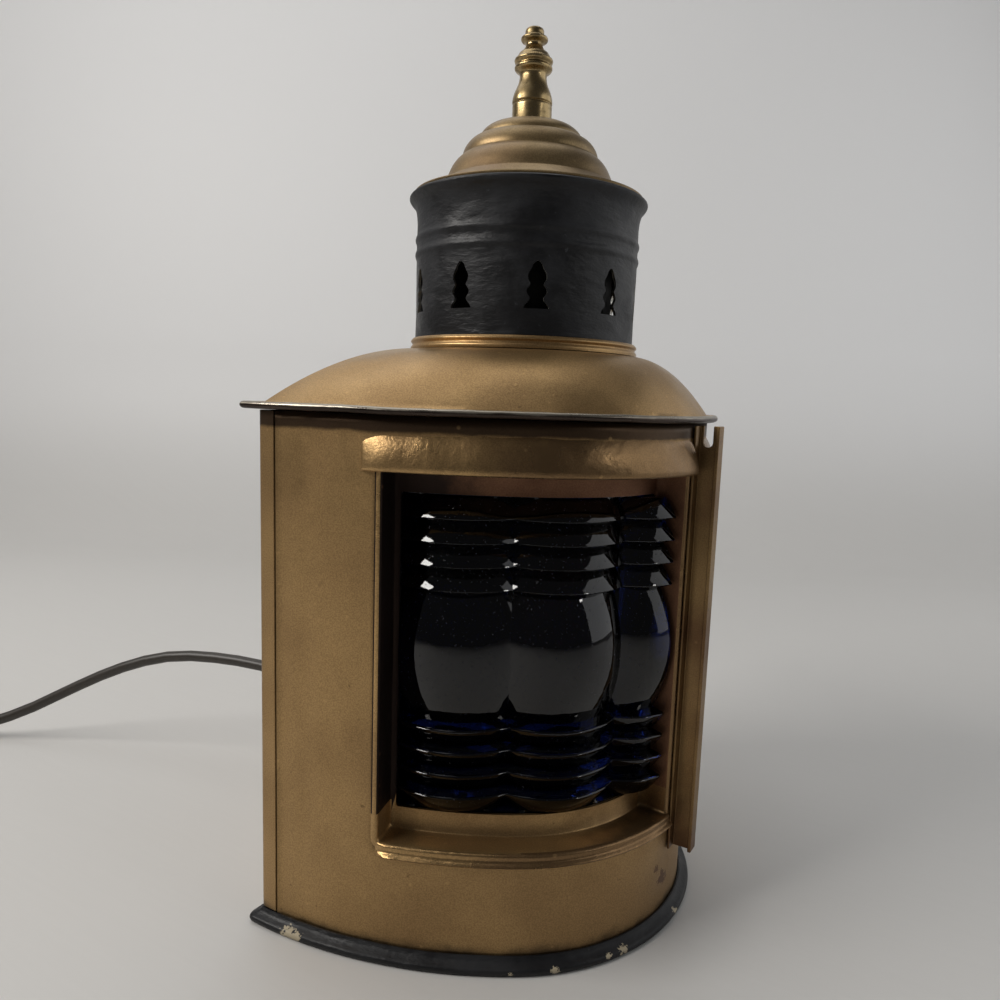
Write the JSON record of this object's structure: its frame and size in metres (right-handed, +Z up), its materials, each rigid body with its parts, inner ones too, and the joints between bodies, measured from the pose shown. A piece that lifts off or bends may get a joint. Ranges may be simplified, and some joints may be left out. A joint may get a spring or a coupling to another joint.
{
  "type": "bow lantern",
  "caption": "Two-colour bow lantern with a D-shaped gold case, pressed lenses, a black vented chimney under a hinged hood, and a mains lead.",
  "frame": {"origin": "on the chimney's axis, at the underside of the base", "axes": "+X forward through the nose fin, +Y to port, +Z up"},
  "size_m": [0.4415, 0.2401, 0.2961],
  "materials": {
    "base_black": "worn satin",
    "case_gold": "worn satin",
    "cap_gold": "dull satin",
    "chimney_black": "satin",
    "blue_glass": "pressed, glossy",
    "red_glass": "pressed, glossy",
    "frosted_glass": "frosted",
    "aged_brass": "aged, turned",
    "brass": "plain",
    "steel": "plated",
    "nickel": "plated",
    "tin": "tinned sheet",
    "card": "fibre card",
    "porcelain": "glazed porcelain",
    "knob_black": "polished",
    "relief_black": "moulded",
    "cord_brown": "satin"
  },
  "bodies": {
    "lantern": {"base_pan": "base_black", "body_shell": "case_gold", "back_plate": "case_gold", "starboard_lens_frame": "case_gold", "port_lens_frame": "case_gold", "starboard_lens": "blue_glass", "port_lens": "red_glass", "starboard_lens_retainer": "tin", "port_lens_retainer": "tin", "bow_fin": "case_gold", "hinge_leaf_back": "case_gold", "hinge_pin": "steel", "socket_strap": "steel", "socket_nipple": "brass", "nipple_locknut": "brass", "socket_cap": "brass", "socket_shell": "brass", "socket_liner": "card", "socket_interior": "porcelain", "screw_shell": "brass", "bulb_base": "nickel", "bulb_glass": "frosted_glass", "inner_lead": "cord_brown", "cord_relief": "relief_black", "cord": "cord_brown", "cord_coil": "cord_brown", "plug": "cord_brown", "plug_blade_left": "brass", "plug_blade_right": "brass"},
    "top": {"hood": "case_gold", "hood_collar": "case_gold", "chimney": "chimney_black", "draught_tube": "tin", "chimney_cap": "cap_gold", "finial_stud": "steel", "finial_washer": "steel", "finial_nut": "steel", "hinge_leaf_hood": "case_gold"},
    "finial": {"finial": "aged_brass"},
    "switch": {"switch_knob": "knob_black"}
  },
  "joints": [
    {"name": "top_hinge", "type": "hinge", "parent": "lantern", "child": "top", "pos_m": [-0.04861, 0, 0.1649], "axis": [0, -1, 0], "range_deg": [0, 100]},
    {"name": "finial_turn", "type": "hinge", "parent": "top", "child": "finial", "pos_m": [0, 0, 0.27], "axis": [0, 0, 1], "continuous": true},
    {"name": "switch_turn", "type": "hinge", "parent": "lantern", "child": "switch", "pos_m": [0, 0, 0.0416], "axis": [-0.8192, -0.5736, 0], "continuous": true}
  ]
}
